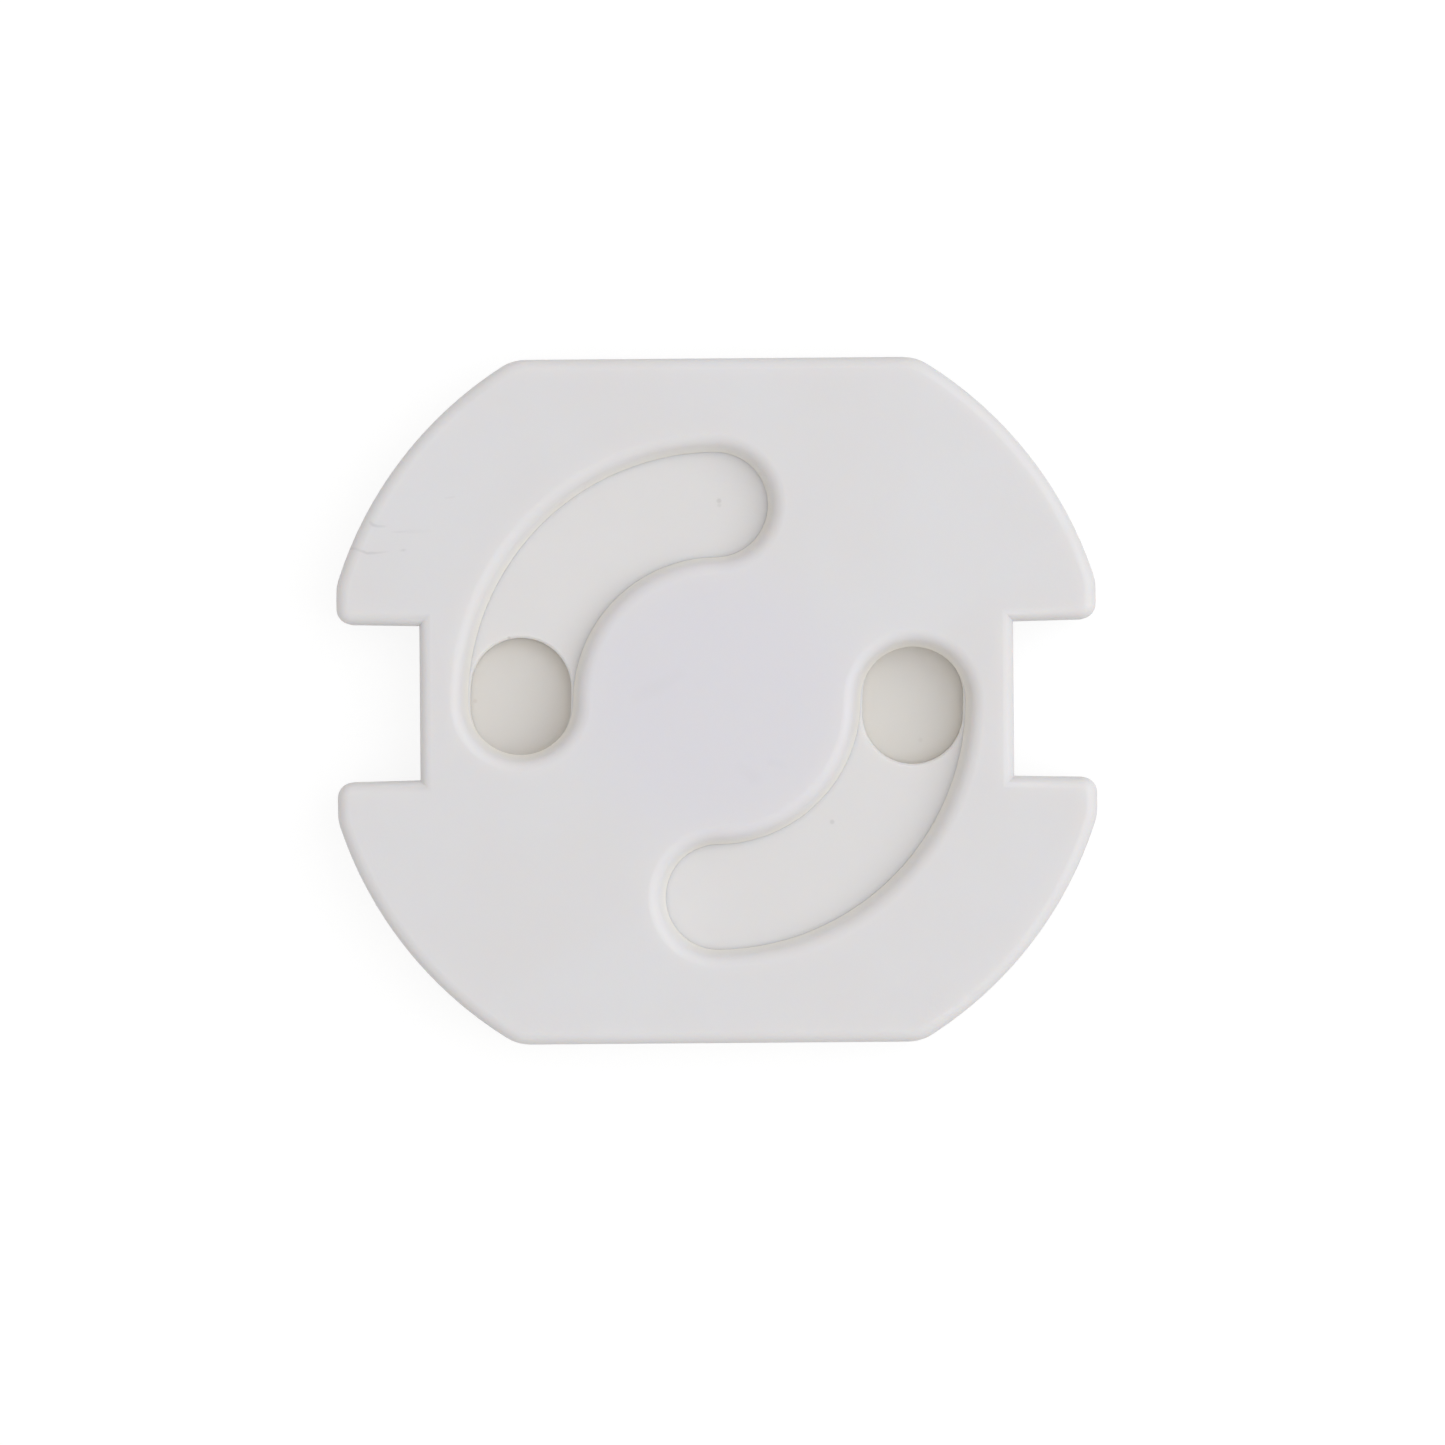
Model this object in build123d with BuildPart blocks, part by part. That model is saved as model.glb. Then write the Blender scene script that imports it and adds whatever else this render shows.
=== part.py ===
from build123d import *
import os

os.makedirs("parts", exist_ok=True)

# A child-safe cover that is glued into the recess of a round earthed wall socket, in millimetres.
# The origin is on the rotor's axis, at the back of the adhesive pad. +Z points out of the wall,
# +X runs through the two notches for the earth clips, and +Y runs over the socket's contacts.

# The plug that has to go in, and the turn that it makes
pin_pitch = 19.0
pin_diameter = 4.8
quarter_turn = 90

# Thicknesses, from the wall outwards
pad_thickness = 0.9
plate_thickness = 1.0
rotor_thickness = 1.2
front_wall = 1.4

# Slots in the front cover
slot_play = 0.3
slot_draft = 16
slot_rim_round = 0.65

# Rotor, and how far it has turned in the photograph
rotor_lap = 0.95
rotor_play = 0.05
rotor_gap = 0.15
hole_play = 0.1
hole_stretch = 0.9
hole_chamfer = 0.1
rest_turn = 1.4

# Stop lugs on the rotor's rim, and the curved grooves that they run in
lug_reach = 0.9
lug_sweep = 9
stop_play = 0.5

# Outline: what stands round the moving parts, and what is cut off the round rim
rim_wall = 5.15
flat_cut = 2.65
ear_cut = 0.85
notch_wall = 1.2
notch_width = 7.5
notch_flare = 0.1
shoulder_round = 2.2
ear_tip_round = 0.75
front_edge_round = 0.6
seam_chamfer = 0.15

# Back plate and pad
socket_hole_play = 0.4
peg_diameter = 2.0
peg_gap = 0.04
peg_short = 0.15
peg_angle = 45
pad_inset = 0.5
pad_hole_play = 1.6

# Heights that follow
cover_back = pad_thickness + plate_thickness
rotor_back = cover_back + rotor_play
pocket_depth = rotor_play + rotor_thickness + rotor_play
front_face = cover_back + pocket_depth + front_wall

# Radii and angles that follow, from the pins outwards
pin_circle = pin_pitch / 2
slot_width = pin_diameter + slot_play
hole_width = pin_diameter + hole_play
rotor_radius = pin_circle + slot_width / 2 + rotor_lap
pocket_radius = rotor_radius + rotor_gap
notch_floor = pocket_radius + notch_wall
groove_radius = pocket_radius + lug_reach
rim_radius = groove_radius + rim_wall
peg_circle = (groove_radius + rim_radius) / 2
lug_angle = 90 + quarter_turn / 2
groove_sweep = quarter_turn + lug_sweep + 2 * stop_play


def ring_sector(outer_radius, middle, sweep):
    """One stretch of a flat ring from the pins' circle outwards, the outline of a lug or a groove."""
    with BuildSketch() as sector:
        with BuildLine():
            outer = CenterArc((0, 0), outer_radius, middle - sweep / 2, sweep)
            inner = CenterArc((0, 0), pin_circle, middle - sweep / 2, sweep)
            Line(outer @ 0, inner @ 0)
            Line(outer @ 1, inner @ 1)
        make_face()
    return sector.sketch


# Outline: a disc with two flats for the guide ribs, its ears cut straight, and a notch in each side
# that is a little wider at its mouth
with BuildSketch() as plate_outline:
    Circle(rim_radius)
    Rectangle(2 * (rim_radius - ear_cut), 2 * (rim_radius - flat_cut), mode=Mode.INTERSECT)
    fillet(plate_outline.vertices(), shoulder_round)
    with PolarLocations(notch_floor, 2):
        Polygon(
            (0, -notch_width / 2),
            (0, notch_width / 2),
            (rim_radius - notch_floor, notch_width / 2 + notch_flare),
            (rim_radius - notch_floor, -notch_width / 2 - notch_flare),
            align=None,
            mode=Mode.SUBTRACT,
        )
    for side in (0, -1):
        ear_tips = plate_outline.vertices().group_by(Axis.X)[side].sort_by(Axis.Y)[1:3]
        fillet(ear_tips, ear_tip_round)

# The two slots, each a quarter turn long, along the circle that the pins travel on
with BuildSketch() as slots:
    with BuildLine(mode=Mode.PRIVATE) as pin_path:
        CenterArc((0, 0), pin_circle, 90, quarter_turn)
    with PolarLocations(0, 2):
        SlotArc(pin_path.edge(), slot_width)

# The front moulding: slots, a round pocket behind them, and pegs for the back plate
with BuildPart() as front_cover:
    with BuildSketch(Plane.XY.offset(cover_back)):
        add(plate_outline.sketch)
    extrude(amount=front_face - cover_back)
    fillet(front_cover.faces().sort_by(Axis.Z)[-1].edges(), front_edge_round)
    chamfer(front_cover.faces().sort_by(Axis.Z)[0].edges(), seam_chamfer)
    # The pocket, with the two grooves whose ends stop the rotor's lugs
    with BuildSketch(Plane.XY.offset(cover_back)):
        Circle(pocket_radius)
        with PolarLocations(0, 2):
            add(ring_sector(groove_radius, 90, groove_sweep))
    extrude(amount=pocket_depth, mode=Mode.SUBTRACT)
    # The slots, with walls that lean outwards and rims that are rounded
    with BuildSketch(Plane.XY.offset(front_face - front_wall)):
        add(slots.sketch)
    extrude(amount=front_wall, taper=-slot_draft, mode=Mode.SUBTRACT)
    slot_rims = front_cover.faces().sort_by(Axis.Z)[-1].inner_wires()
    fillet([edge for rim in slot_rims for edge in rim.edges()], slot_rim_round)
    # Four pegs in the ears
    with BuildSketch(Plane.XY.offset(cover_back)):
        with PolarLocations(peg_circle, 4, start_angle=peg_angle):
            Circle(peg_diameter / 2)
    extrude(amount=-(plate_thickness - peg_short))
front_cover.part.label = "front_cover"
export_step(front_cover.part, "parts/front_cover.step")

# The disc that turns: two stretched pin holes, and two lugs on its rim
with BuildPart() as rotor:
    with BuildSketch(Plane.XY.offset(rotor_back).rotated((0, 0, -rest_turn))):
        Circle(rotor_radius)
        with PolarLocations(0, 2):
            add(ring_sector(rotor_radius + lug_reach, lug_angle, lug_sweep))
        with PolarLocations(pin_circle, 2):
            SlotOverall(hole_width + hole_stretch, hole_width, rotation=90, mode=Mode.SUBTRACT)
    extrude(amount=rotor_thickness)
    hole_rims = rotor.faces().sort_by(Axis.Z)[-1].inner_wires()
    chamfer([edge for rim in hole_rims for edge in rim.edges()], hole_chamfer)
rotor.part.label = "rotor"
export_step(rotor.part, "parts/rotor.step")

# The plate that closes the pocket, with the two holes that lead into the socket
with BuildPart() as back_plate:
    with BuildSketch(Plane.XY.offset(pad_thickness)):
        add(plate_outline.sketch)
    extrude(amount=plate_thickness)
    chamfer(back_plate.faces().sort_by(Axis.Z)[-1].edges(), seam_chamfer)
    with BuildSketch(Plane.XY.offset(pad_thickness)):
        with PolarLocations(pin_circle, 2, start_angle=90):
            Circle((pin_diameter + socket_hole_play) / 2)
        with PolarLocations(peg_circle, 4, start_angle=peg_angle):
            Circle(peg_diameter / 2 + peg_gap)
    extrude(amount=plate_thickness, mode=Mode.SUBTRACT)
back_plate.part.label = "back_plate"
export_step(back_plate.part, "parts/back_plate.step")

# The foam tape, cut a little inside the outline and clear of the pins
with BuildPart() as adhesive_pad:
    with BuildSketch():
        add(plate_outline.sketch)
        offset(amount=-pad_inset)
        with PolarLocations(pin_circle, 2, start_angle=90):
            Circle((pin_diameter + pad_hole_play) / 2, mode=Mode.SUBTRACT)
    extrude(amount=pad_thickness)
adhesive_pad.part.label = "adhesive_pad"
export_step(adhesive_pad.part, "parts/adhesive_pad.step")
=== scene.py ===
import bmesh
import bpy
import math
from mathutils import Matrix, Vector, noise as mathNoise


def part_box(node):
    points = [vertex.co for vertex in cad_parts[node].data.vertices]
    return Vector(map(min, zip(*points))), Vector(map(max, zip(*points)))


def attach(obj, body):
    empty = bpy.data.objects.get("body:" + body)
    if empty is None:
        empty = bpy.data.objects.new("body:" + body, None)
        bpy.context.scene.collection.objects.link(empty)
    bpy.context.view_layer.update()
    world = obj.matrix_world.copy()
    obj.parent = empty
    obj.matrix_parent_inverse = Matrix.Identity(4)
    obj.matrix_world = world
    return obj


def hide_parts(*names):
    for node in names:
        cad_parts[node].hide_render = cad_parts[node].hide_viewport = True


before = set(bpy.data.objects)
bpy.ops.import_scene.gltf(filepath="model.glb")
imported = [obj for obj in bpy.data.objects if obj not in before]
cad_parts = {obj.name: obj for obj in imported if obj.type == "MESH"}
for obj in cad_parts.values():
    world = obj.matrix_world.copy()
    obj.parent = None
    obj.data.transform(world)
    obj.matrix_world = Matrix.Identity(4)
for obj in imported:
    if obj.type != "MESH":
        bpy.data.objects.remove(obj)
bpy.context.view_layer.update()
mm = 0.001
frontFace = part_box("front_cover")[1].z
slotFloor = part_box("rotor")[1].z
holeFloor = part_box("back_plate")[1].z
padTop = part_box("adhesive_pad")[1].z
print("frame loaded, front face at", round(frontFace / mm, 2), "mm")


def srgb(red, green, blue):
    # 0 to 255 screen values, as the linear colour that a shader takes
    linear = [((v / 255 + 0.055) / 1.055) ** 2.4 for v in (red, green, blue)]
    return (*linear, 1.0)


# Small helpers for node trees

def addNode(tree, kind, sockets=(), **settings):
    node = tree.nodes.new("ShaderNode" + kind)
    for name, value in settings.items():
        setattr(node, name, value)
    for socket, value in dict(sockets).items():
        target = node.inputs[socket]
        if isinstance(value, bpy.types.NodeSocket):
            tree.links.new(value, target)
        else:
            target.default_value = value
    return node


def calc(tree, operation, first, second=0.0, clamp=False):
    return addNode(tree, "Math", {0: first, 1: second}, operation=operation, use_clamp=clamp).outputs[0]


def vectorCalc(tree, operation, first, second):
    slot = "Scale" if operation == "SCALE" else 1
    outputs = addNode(tree, "VectorMath", {0: first, slot: second}, operation=operation).outputs
    return outputs["Value" if operation in ("DISTANCE", "DOT_PRODUCT") else "Vector"]


def ramp(tree, value, low, high, start=0.0, end=1.0, smooth=True):
    sockets = {"Value": value, "From Min": low, "From Max": high, "To Min": start, "To Max": end}
    kind = "SMOOTHSTEP" if smooth else "LINEAR"
    return addNode(tree, "MapRange", sockets, interpolation_type=kind).outputs[0]


def noise(tree, point, size, detail=2.0, rough=0.5):
    # size is the width of one patch, in metres
    sockets = {"Vector": point, "Scale": 1.0 / size, "Detail": detail, "Roughness": rough}
    return addNode(tree, "TexNoise", sockets).outputs["Fac"]


def blend(tree, share, first, second):
    node = addNode(tree, "Mix", data_type="RGBA")
    for socket, value in ((0, share), (6, first), (7, second)):
        if isinstance(value, bpy.types.NodeSocket):
            tree.links.new(value, node.inputs[socket])
        else:
            node.inputs[socket].default_value = value
    return node.outputs[2]


def bump(tree, height, depth, below=None):
    # depth is in metres
    sockets = {"Height": height, "Distance": depth, "Strength": 1.0}
    if below:
        sockets["Normal"] = below
    return addNode(tree, "Bump", sockets).outputs[0]


def startMaterial(name):
    material = bpy.data.materials.new(name)
    material.use_nodes = True
    tree = material.node_tree
    tree.nodes.clear()
    shader = addNode(tree, "BsdfPrincipled")
    output = addNode(tree, "OutputMaterial")
    tree.links.new(shader.outputs[0], output.inputs[0])
    point = addNode(tree, "TexCoord").outputs["Object"]
    return material, tree, shader, point


def largest(tree, masks):
    total = masks[0]
    for mask in masks[1:]:
        total = calc(tree, "MAXIMUM", total, mask)
    return total


speckCore = 0.3      # share of a speck's radius that has its full strength
strokeCore = 0.15    # the same for half the width of a stroke


def speckMask(tree, flat, specks):
    # dots of dust: each has a place and a radius in millimetres, and a strength
    dots = []
    for x, y, radius, strength in specks:
        away = vectorCalc(tree, "DISTANCE", flat, (x * mm, y * mm, 0))
        dots.append(ramp(tree, away, radius * mm, radius * mm * speckCore, 0.0, strength))
    return largest(tree, dots)


def strokeMask(tree, flat, strokes):
    # marks along chains of points: each point has a place, a half width in millimetres and a strength
    marks = []
    for stroke in strokes:
        for first, last in zip(stroke, stroke[1:]):
            along = Vector((last[0] - first[0], last[1] - first[1], 0)) * mm
            off = vectorCalc(tree, "SUBTRACT", flat, (first[0] * mm, first[1] * mm, 0))
            share = vectorCalc(tree, "DOT_PRODUCT", off, along / along.length_squared)
            share = calc(tree, "ADD", share, 0.0, clamp=True)
            away = vectorCalc(tree, "DISTANCE", off, vectorCalc(tree, "SCALE", along, share))
            width = ramp(tree, share, 0.0, 1.0, first[2] * mm, last[2] * mm, smooth=False)
            strength = ramp(tree, share, 0.0, 1.0, first[3], last[3], smooth=False)
            line = ramp(tree, calc(tree, "DIVIDE", away, width), 1.0, strokeCore)
            marks.append(calc(tree, "MULTIPLY", line, strength))
    return largest(tree, marks)


# White moulded plastic

def mouldedPlastic(look):
    material, tree, shader, point = startMaterial(look["name"])
    height = addNode(tree, "SeparateXYZ", {0: point}).outputs[2]
    facing = addNode(tree, "SeparateXYZ", {0: addNode(tree, "TexCoord").outputs["Normal"]}).outputs[2]
    flat = vectorCalc(tree, "MULTIPLY", point, (1, 1, 0))
    radius = vectorCalc(tree, "DISTANCE", flat, (0, 0, 0))

    # soft clouds in the white, a cooler middle, and painted light on the recess walls: a brighter, warmer
    # white that lifts their shade
    clouds = ramp(tree, noise(tree, point, look["cloudSize"], 3.0), 0.3, 0.7)
    colour = blend(tree, clouds, look["white"], look["cloudWhite"])
    middle = ramp(tree, radius, look["middleReach"], look["middleFull"])
    colour = blend(tree, middle, colour, look["middleWhite"])
    # the painted light lies on steep faces below the front, within the slots' reach
    paintedWallMask = ramp(tree, height, look["deepFrom"], look["deepTo"], smooth=False)
    inner = ramp(tree, radius, look["deepReach"], look["deepFull"])
    walls = ramp(tree, calc(tree, "ABSOLUTE", facing), look["flatFacing"], look["wallFacing"])
    paintedWallMask = calc(tree, "MULTIPLY", calc(tree, "MULTIPLY", paintedWallMask, inner), walls)
    colour = blend(tree, paintedWallMask, colour, look["paintedWallLight"])

    # marks lie on the front alone, and don't run down the sides
    front = ramp(tree, height, look["marksFrom"], look["marksFrom"] + look["marksFade"])

    # moulding grain, and the long low waves that a pressed face has
    grain = noise(tree, point, look["grainSize"], 3.0, 0.6)
    waves = noise(tree, point, look["waveSize"], 1.0)
    normal = bump(tree, grain, look["grainDepth"])
    normal = bump(tree, waves, look["waveDepth"], normal)
    shine = ramp(tree, grain, 0.25, 0.75, look["roughLow"], look["roughHigh"], smooth=False)

    if look["smudges"]:
        smudged = calc(tree, "MULTIPLY", strokeMask(tree, flat, look["smudges"]), front)
        colour = blend(tree, smudged, colour, look["dust"])
    if look["scratches"]:
        # the scratches wander a little off their chains
        wander = addNode(tree, "TexNoise", {"Vector": flat, "Scale": 1 / look["wanderSize"]}).outputs["Color"]
        wander = vectorCalc(tree, "SUBTRACT", wander, (0.5, 0.5, 0.5))
        wander = vectorCalc(tree, "SCALE", wander, look["wander"])
        shifted = vectorCalc(tree, "MULTIPLY", vectorCalc(tree, "ADD", flat, wander), (1, 1, 0))
        scratched = calc(tree, "MULTIPLY", strokeMask(tree, shifted, look["scratches"]), front)
        colour = blend(tree, scratched, colour, look["dust"])
        normal = bump(tree, calc(tree, "SUBTRACT", 1.0, scratched), look["scratchDepth"], normal)
    if look["specks"]:
        dusty = calc(tree, "MULTIPLY", speckMask(tree, flat, look["specks"]), front)
        colour = blend(tree, dusty, colour, look["dust"])
    if look["ringDepth"]:
        # fine rings where the disc slides under the cover
        rings = addNode(tree, "TexNoise", {"W": radius, "Scale": 1 / look["ringSize"], "Detail": 4.0},
                        noise_dimensions="1D").outputs["Fac"]
        normal = bump(tree, rings, look["ringDepth"], normal)

    tree.links.new(colour, shader.inputs["Base Color"])
    tree.links.new(shine, shader.inputs["Roughness"])
    tree.links.new(normal, shader.inputs["Normal"])
    shader.inputs["IOR"].default_value = look["ior"]
    shader.subsurface_method = look["glowMethod"]
    if look["glowFrom"] is not None:
        # light glows through the rims, and the feet of the walls are dense
        glow = ramp(tree, height, look["glowFrom"], look["glowTo"], 0.0, look["glow"])
        tree.links.new(glow, shader.inputs["Subsurface Weight"])
    else:
        shader.inputs["Subsurface Weight"].default_value = look["glow"]
    shader.inputs["Subsurface Radius"].default_value = look["glowColour"]
    shader.inputs["Subsurface Scale"].default_value = look["glowDepth"]
    return material


coverLook = {
    "name": "coverWhite",
    "white": srgb(222, 221, 223),
    "cloudWhite": srgb(221, 219, 220),
    "cloudSize": 7 * mm,
    "middleWhite": srgb(220, 218, 223),
    "middleReach": 9 * mm,
    "middleFull": 3.6 * mm,
    "paintedWallLight": srgb(239, 235, 227),     # painted light on the slot walls: brighter and warmer than the face, lifting their shade
    "deepFrom": frontFace - 0.25 * mm,
    "deepTo": slotFloor,
    "deepReach": 13.6 * mm,               # radius round the slots, so the outer sides stay as the face
    "deepFull": 13.3 * mm,
    "flatFacing": 0.95,                   # a face this level stays as it is
    "wallFacing": 0.6,                    # and one this steep is a wall
    "grainSize": 0.16 * mm,
    "grainDepth": 0.004 * mm,
    "waveSize": 5 * mm,
    "waveDepth": 0.02 * mm,
    "roughLow": 0.42,
    "roughHigh": 0.52,
    "ior": 1.5,
    "glow": 0.6,
    "glowMethod": "RANDOM_WALK",
    "glowColour": (1.0, 0.8, 0.6),
    "glowDepth": 1.2 * mm,
    "glowFrom": slotFloor - 0.1 * mm,
    "glowTo": frontFace - 0.2 * mm,
    "dust": srgb(140, 140, 145),
    "marksFrom": frontFace - 0.5 * mm,
    "marksFade": 0.1 * mm,
    "wanderSize": 0.5 * mm,
    "wander": 0.08 * mm,
    "scratchDepth": 0.004 * mm,
    "scratches": [                        # on the left ear, from its edge inwards
        [(-16.66, 8.74, 0.12, 0.14), (-16.52, 8.60, 0.13, 0.22), (-16.29, 8.54, 0.10, 0.16),
         (-16.05, 8.54, 0.09, 0.12), (-15.80, 8.52, 0.07, 0.0)],
        [(-15.62, 8.27, 0.06, 0.04), (-15.28, 8.27, 0.07, 0.1), (-14.84, 8.29, 0.10, 0.05)],
        [(-14.84, 8.29, 0.16, 0.05), (-13.82, 8.28, 0.14, 0.02)],
        [(-17.62, 7.50, 0.10, 0.18), (-17.37, 7.47, 0.10, 0.12), (-17.14, 7.36, 0.10, 0.14),
         (-16.84, 7.25, 0.11, 0.2), (-16.50, 7.26, 0.10, 0.18), (-16.11, 7.28, 0.08, 0.1),
         (-15.67, 7.35, 0.06, 0.0)],
        [(-15.30, 7.36, 0.07, 0.0), (-15.07, 7.38, 0.10, 0.16), (-14.88, 7.38, 0.07, 0.0)],
        [(-13.00, 9.88, 0.08, 0.05), (-12.60, 9.92, 0.08, 0.07)],
    ],
    "smudges": [                          # faint, on the web between the slots
        [(-3.82, 0.20, 0.5, 0.02), (-2.99, 0.60, 0.6, 0.03), (-1.77, 1.30, 0.4, 0.02)],
        [(1.10, -3.20, 0.4, 0.02), (1.80, -3.70, 0.5, 0.03)],
        [(2.60, -3.00, 0.3, 0.03), (3.20, -3.15, 0.3, 0.02)],
    ],
    "specks": None,
    "ringDepth": 0.0,
}

rotorLook = dict(
    coverLook,
    name="rotorWhite",
    # a little brighter than the cover's whites: painted light that lifts the shade on the slot floors
    white=srgb(225, 223, 223),
    cloudWhite=srgb(223, 221, 221),
    middleWhite=srgb(224, 222, 222),
    paintedWallLight=srgb(252, 242, 222),        # painted light on the pin-hole walls: brighter and warmer than the disc, lifting their shade
    deepFrom=slotFloor - 0.12 * mm,
    deepTo=holeFloor,
    marksFrom=slotFloor - 0.2 * mm,
    roughLow=0.36,
    roughHigh=0.44,
    glowDepth=0.6 * mm,
    glowFrom=None,                        # an even glow
    scratches=None,
    smudges=None,
    dust=srgb(96, 92, 92),
    specks=[
        (0.18, 9.68, 0.17, 0.17), (0.19, 9.47, 0.15, 0.09),    # two that touch, at the top
        (5.54, -5.91, 0.16, 0.16),
        (-10.04, 3.13, 0.12, 0.2),                             # at the left hole's rim
    ],
    ringDepth=0.003 * mm,
    ringSize=0.35 * mm,
)

plateLook = dict(
    rotorLook,
    name="plateWhite",
    white=srgb(221, 218, 215),
    cloudWhite=srgb(219, 216, 212),
    middleWhite=srgb(221, 218, 215),
    paintedWallLight=srgb(221, 218, 215),
    deepFrom=holeFloor - 0.1 * mm,
    deepTo=padTop,
    marksFrom=holeFloor - 0.2 * mm,
    dust=srgb(165, 138, 130),
    specks=[(9.87, -1.98, 0.16, 0.09), (-11.74, 0.08, 0.15, 0.14)],
    glow=0.4,
    glowDepth=0.8 * mm,
    ringDepth=0.0,
)


# Foam tape: a cellular core between two thin films of glue

def foamTape(look):
    material, tree, shader, point = startMaterial(look["name"])
    height = addNode(tree, "SeparateXYZ", {0: point}).outputs[2]
    cells = addNode(tree, "TexVoronoi", {"Vector": point, "Scale": 1 / look["cellSize"]}).outputs["Distance"]
    # painted shade: the hollow of each cell is darker, where the bump sinks
    pits = ramp(tree, cells, 0.1, 0.6)
    colour = blend(tree, pits, look["pit"], look["foam"])
    filmEnd = look["film"] * look["filmFade"]
    lower = ramp(tree, height, look["film"], filmEnd, 1.0, 0.0)
    upper = ramp(tree, height, padTop - filmEnd, padTop - look["film"])
    film = calc(tree, "MAXIMUM", lower, upper)
    colour = blend(tree, film, colour, look["glue"])
    foamHeight = calc(tree, "MULTIPLY", pits, calc(tree, "SUBTRACT", 1.0, film))
    ripples = noise(tree, point, look["rippleSize"], 2.0)
    normal = bump(tree, foamHeight, look["cellDepth"])
    normal = bump(tree, ripples, look["rippleDepth"], normal)
    tree.links.new(colour, shader.inputs["Base Color"])
    shine = ramp(tree, film, 0.0, 1.0, look["foamRough"], look["glueRough"])
    tree.links.new(shine, shader.inputs["Roughness"])
    tree.links.new(normal, shader.inputs["Normal"])
    shader.inputs["Subsurface Weight"].default_value = look["glow"]
    shader.inputs["Subsurface Radius"].default_value = look["glowColour"]
    shader.inputs["Subsurface Scale"].default_value = look["glowDepth"]
    return material


padLook = {
    "name": "foamTape",
    "foam": srgb(240, 238, 233),
    # painted shade in the cell hollows
    "pit": srgb(220, 217, 210),
    "glue": srgb(222, 218, 203),
    "cellSize": 0.14 * mm,
    "cellDepth": 0.03 * mm,
    "film": 0.07 * mm,
    "filmFade": 1.3,
    "foamRough": 0.85,
    "glueRough": 0.28,
    "glow": 0.2,
    "glowColour": (1.0, 0.9, 0.75),
    "glowDepth": 0.6 * mm,
    "rippleSize": 2.5 * mm,
    "rippleDepth": 0.03 * mm,
    "cutStep": 0.09 * mm,                  # mesh spacing along the cut
    "cutRows": 12,
    "widestHole": 10 * mm,
    "shrink": 0.04 * mm,                   # how far the foam stands back from its films
    "openCell": 0.24 * mm,
    "openDepth": 0.07 * mm,
    "openRise": 8,                         # higher is a quicker step from the films to the open foam
    "cellWall": 2.5,                       # higher is a thinner wall between two cells
}


def cutLines(node):
    # the outline and the holes of the pad's underside, each as a closed ring of points
    shape = bmesh.new()
    shape.from_mesh(node.data)
    bmesh.ops.remove_doubles(shape, verts=shape.verts, dist=0.001 * mm)
    beside = {}
    # edges at the very bottom, between a level face and an upright one
    for edge in shape.edges:
        low = all(vertex.co.z < 0.01 * mm for vertex in edge.verts)
        if low and min(abs(face.normal.z) for face in edge.link_faces) < 0.5:
            first, last = (vertex.co.copy().freeze() for vertex in edge.verts)
            beside.setdefault(first, []).append(last)
            beside.setdefault(last, []).append(first)
    shape.free()
    rings = []
    while beside:
        ring = [next(iter(beside))]
        while beside.get(ring[-1]):
            step = beside[ring[-1]].pop()
            beside[step].remove(ring[-1])
            ring.append(step)
        for point in ring:
            beside.pop(point, None)
        rings.append(ring[:-1])
    return rings


def evenRing(ring, step):
    # the same closed ring with points at an even spacing
    corners = ring + ring[:1]
    runs = [(last - first).length for first, last in zip(corners, corners[1:])]
    count = round(sum(runs) / step)
    spacing = sum(runs) / count
    points, walked, index = [], 0.0, 0
    for number in range(count):
        target = number * spacing
        while walked + runs[index] < target:
            walked += runs[index]
            index += 1
        points.append(corners[index].lerp(corners[index + 1], (target - walked) / runs[index]))
    return points


def foamPad(look, node, material):
    shape = bmesh.new()
    edges = {0: [], look["cutRows"]: []}
    for ring in cutLines(node):
        points = evenRing(ring, look["cutStep"])
        area = sum(a.x * b.y - b.x * a.y for a, b in zip(points, points[1:] + points[:1]))
        width = max(point.x for point in points) - min(point.x for point in points)
        isHole = width < look["widestHole"]
        outward = math.copysign(1, area) * (-1 if isHole else 1)
        rows = []
        for row in range(look["cutRows"] + 1):
            share = row / look["cutRows"]
            height = padTop * share
            # flush at the two films, and in between the foam stands back and its cut cells are open
            cutOpen = min(1.0, look["openRise"] * min(share, 1 - share)) if 0 < row < look["cutRows"] else 0.0
            verts = []
            for before, point, after in zip(points[-1:] + points[:-1], points, points[1:] + points[:1]):
                along = (after - before).normalized()
                away = Vector((along.y, -along.x, 0)) * outward
                spot = Vector((point.x, point.y, height)) / look["openCell"]
                near, second = mathNoise.voronoi(spot)[0][:2]
                pit = 1 - min(1.0, look["cellWall"] * (second - near))
                back = cutOpen * (look["shrink"] + look["openDepth"] * (1 - pit))
                verts.append(shape.verts.new(Vector((point.x, point.y, height)) - away * back))
            rows.append(verts)
        for lower, upper in zip(rows, rows[1:]):
            for a, b, c, d in zip(lower, lower[1:] + lower[:1], upper[1:] + upper[:1], upper):
                shape.faces.new((a, b, c, d))
        for end, verts in ((0, rows[0]), (look["cutRows"], rows[-1])):
            edges[end] += [shape.edges.get((a, b)) for a, b in zip(verts, verts[1:] + verts[:1])]
    for end in edges.values():
        bmesh.ops.triangle_fill(shape, use_beauty=True, edges=end)
    bmesh.ops.recalc_face_normals(shape, faces=shape.faces)
    for face in shape.faces:
        face.smooth = abs(face.normal.z) < 0.9
    mesh = bpy.data.meshes.new("foamPad")
    shape.to_mesh(mesh)
    shape.free()
    pad = bpy.data.objects.new("foamPad", mesh)
    bpy.context.collection.objects.link(pad)
    mesh.materials.append(material)
    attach(pad, "housing")
    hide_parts("adhesive_pad")


shadingLook = {
    "sharpAngle": math.radians(32),
    "joinDistance": 0.002 * mm,
}


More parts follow.
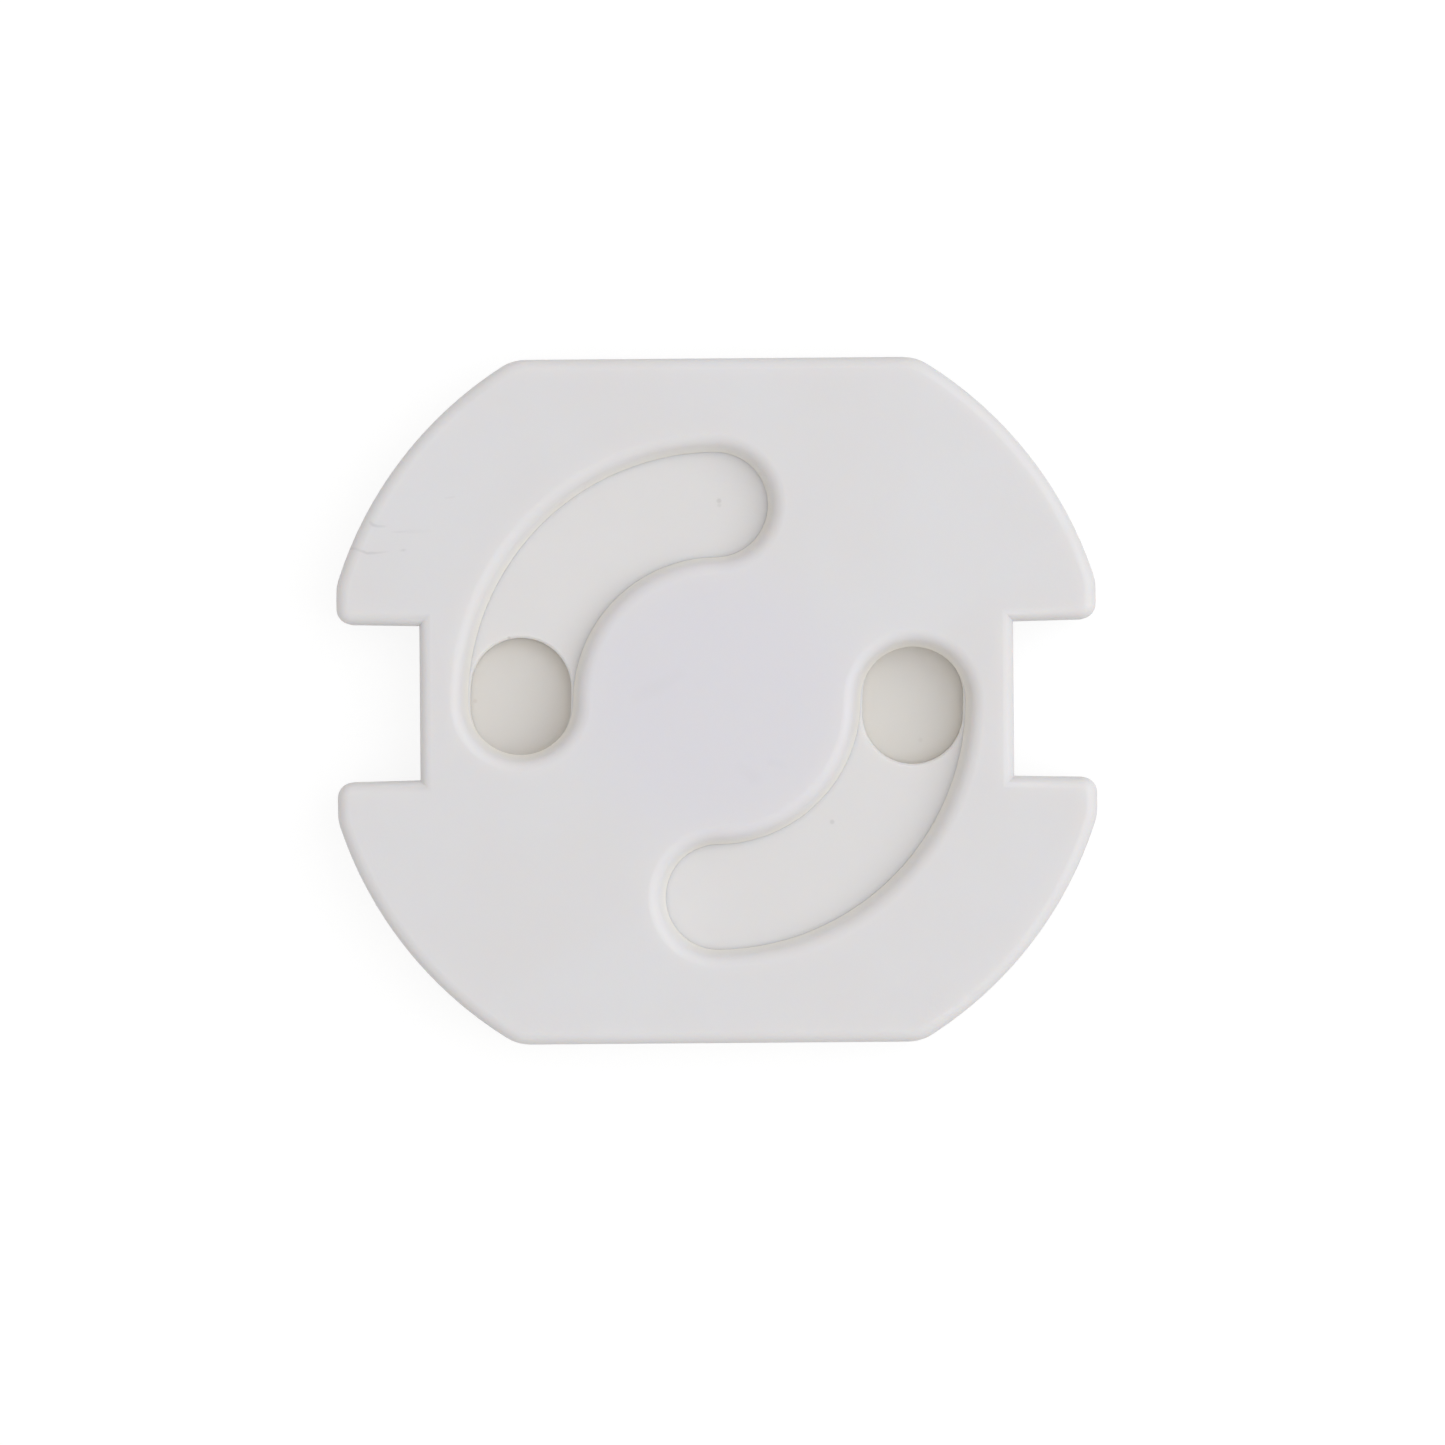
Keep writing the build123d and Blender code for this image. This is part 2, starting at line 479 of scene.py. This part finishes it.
def smoothShading(look, piece):
    # joins the facets of neighbouring faces, and keeps an edge sharp where it turns by more than the angle
    group = bpy.data.node_groups.new("smooth_" + piece.name, "GeometryNodeTree")
    group.interface.new_socket("Mesh", in_out="INPUT", socket_type="NodeSocketGeometry")
    group.interface.new_socket("Mesh", in_out="OUTPUT", socket_type="NodeSocketGeometry")
    steps = [group.nodes.new(kind) for kind in (
        "NodeGroupInput", "GeometryNodeRemoveAttribute", "GeometryNodeMergeByDistance",
        "GeometryNodeSetShadeSmooth", "GeometryNodeSetShadeSmooth", "NodeGroupOutput")]
    for first, second in zip(steps, steps[1:]):
        group.links.new(first.outputs[0], second.inputs[0])
    steps[1].inputs["Name"].default_value = "custom_normal"
    steps[2].inputs["Distance"].default_value = look["joinDistance"]
    steps[3].domain = "FACE"
    steps[4].domain = "EDGE"
    angle = group.nodes.new("GeometryNodeInputMeshEdgeAngle")
    gentle = group.nodes.new("FunctionNodeCompare")
    gentle.operation = "LESS_THAN"
    gentle.inputs[1].default_value = look["sharpAngle"]
    group.links.new(angle.outputs[0], gentle.inputs[0])
    group.links.new(gentle.outputs[0], steps[4].inputs["Shade Smooth"])
    piece.modifiers.new("smooth", "NODES").node_group = group
    weighted = piece.modifiers.new("weightedNormals", "WEIGHTED_NORMAL")
    weighted.keep_sharp = True


finishes = {
    "front_cover": mouldedPlastic(coverLook),
    "rotor": mouldedPlastic(rotorLook),
    "back_plate": mouldedPlastic(plateLook),
}
for name, finish in finishes.items():
    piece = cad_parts[name]
    piece.data.materials.clear()
    piece.data.materials.append(finish)
    smoothShading(shadingLook, piece)
foamPad(padLook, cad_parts["adhesive_pad"], foamTape(padLook))
print("finishes on", len(finishes), "mouldings, and the foam pad made")


# Floor and light

def seenRays(tree):
    # the rays that make the picture, straight or by way of a shine or a clear piece
    rays = addNode(tree, "LightPath").outputs
    seen = calc(tree, "MAXIMUM", rays["Is Camera Ray"], rays["Is Glossy Ray"])
    return calc(tree, "MAXIMUM", seen, rays["Is Transmission Ray"])


# white where the picture sees it, with the cover's shadow kept, and a plain grey for bounced light
floorLook = {
    "size": 4.0,
    "gap": 0.01 * mm,
    "seenLight": 0.86,
    "seenWhite": (0.18, 0.18, 0.18, 1.0),
    "bounceGrey": (0.6, 0.6, 0.6, 1.0),
}


def whiteFloor(look):
    half = look["size"] / 2
    mesh = bpy.data.meshes.new("floor")
    corners = [(-half, -half, 0), (half, -half, 0), (half, half, 0), (-half, half, 0)]
    mesh.from_pydata(corners, [], [(0, 1, 2, 3)])
    floor = bpy.data.objects.new("floor", mesh)
    floor.location.z = -look["gap"]
    bpy.context.collection.objects.link(floor)
    material = bpy.data.materials.new("floorWhite")
    material.use_nodes = True
    tree = material.node_tree
    tree.nodes.clear()
    light = addNode(tree, "Emission", {"Strength": look["seenLight"]})
    shaded = addNode(tree, "BsdfDiffuse", {"Color": look["seenWhite"]})
    both = addNode(tree, "AddShader", {0: light.outputs[0], 1: shaded.outputs[0]})
    bounce = addNode(tree, "BsdfDiffuse", {"Color": look["bounceGrey"]})
    mixed = addNode(tree, "MixShader", {0: seenRays(tree), 1: bounce.outputs[0], 2: both.outputs[0]})
    output = addNode(tree, "OutputMaterial")
    tree.links.new(mixed.outputs[0], output.inputs[0])
    mesh.materials.append(material)


whiteFloor(floorLook)

# a warm sky and a cool key: lit whites stay neutral, and the shade is a little warm
lightLook = {
    "skyStrength": 0.705,
    "skyColour": (1.0, 0.985, 0.965),
    "keyPlace": (0.30, 0.05, 0.38),
    "keySize": 0.5,
    "keyPower": 1.18,
    "keyColour": (0.92, 0.96, 1.0),
}


def softLight(look):
    world = bpy.data.worlds.new("studio")
    world.use_nodes = True
    tree = world.node_tree
    tree.nodes.clear()
    sky = addNode(tree, "Background", {"Color": (*look["skyColour"], 1.0), "Strength": look["skyStrength"]})
    white = addNode(tree, "Background", {"Color": (1.0, 1.0, 1.0, 1.0), "Strength": 1.0})
    mixed = addNode(tree, "MixShader", {0: seenRays(tree), 1: sky.outputs[0], 2: white.outputs[0]})
    output = addNode(tree, "OutputWorld")
    tree.links.new(mixed.outputs[0], output.inputs[0])
    bpy.context.scene.world = world
    lamp = bpy.data.lights.new("keyLight", "AREA")
    lamp.size = look["keySize"]
    lamp.energy = look["keyPower"]
    lamp.color = look["keyColour"]
    key = bpy.data.objects.new("keyLight", lamp)
    key.location = look["keyPlace"]
    aim = Vector((0, 0, 0)) - key.location
    key.rotation_euler = aim.to_track_quat("-Z", "Y").to_euler()
    bpy.context.collection.objects.link(key)


softLight(lightLook)
print("floor and soft light ready")

# Camera straight above the cover, placed by where the cover lies in the 1445 pixel photograph
cameraLook = {
    "photoWidth": 1445,
    "pixelsPerMm": 20.65,
    "centreX": 716.8,
    "centreY": 700.8,
    "coverTurn": 0.45,       # degrees anticlockwise
    "distance": 0.45,
    "sensor": 36.0,
    "clipStart": 0.01,
}


def photoCamera(look):
    middle = look["photoWidth"] / 2
    right = (middle - look["centreX"]) / look["pixelsPerMm"] * mm
    down = (middle - look["centreY"]) / look["pixelsPerMm"] * mm
    turn = -math.radians(look["coverTurn"])
    data = bpy.data.cameras.new("photoCamera")
    data.sensor_width = look["sensor"]
    data.lens = look["sensor"] * look["distance"] / (look["photoWidth"] / look["pixelsPerMm"] * mm)
    data.clip_start = look["clipStart"]
    camera = bpy.data.objects.new("photoCamera", data)
    camera.location = (
        right * math.cos(turn) + down * math.sin(turn),
        right * math.sin(turn) - down * math.cos(turn),
        slotFloor + look["distance"],
    )
    camera.rotation_euler = (0, 0, turn)
    bpy.context.collection.objects.link(camera)
    bpy.context.scene.camera = camera


photoCamera(cameraLook)
bpy.context.scene.view_settings.view_transform = "Standard"
print("camera ready")
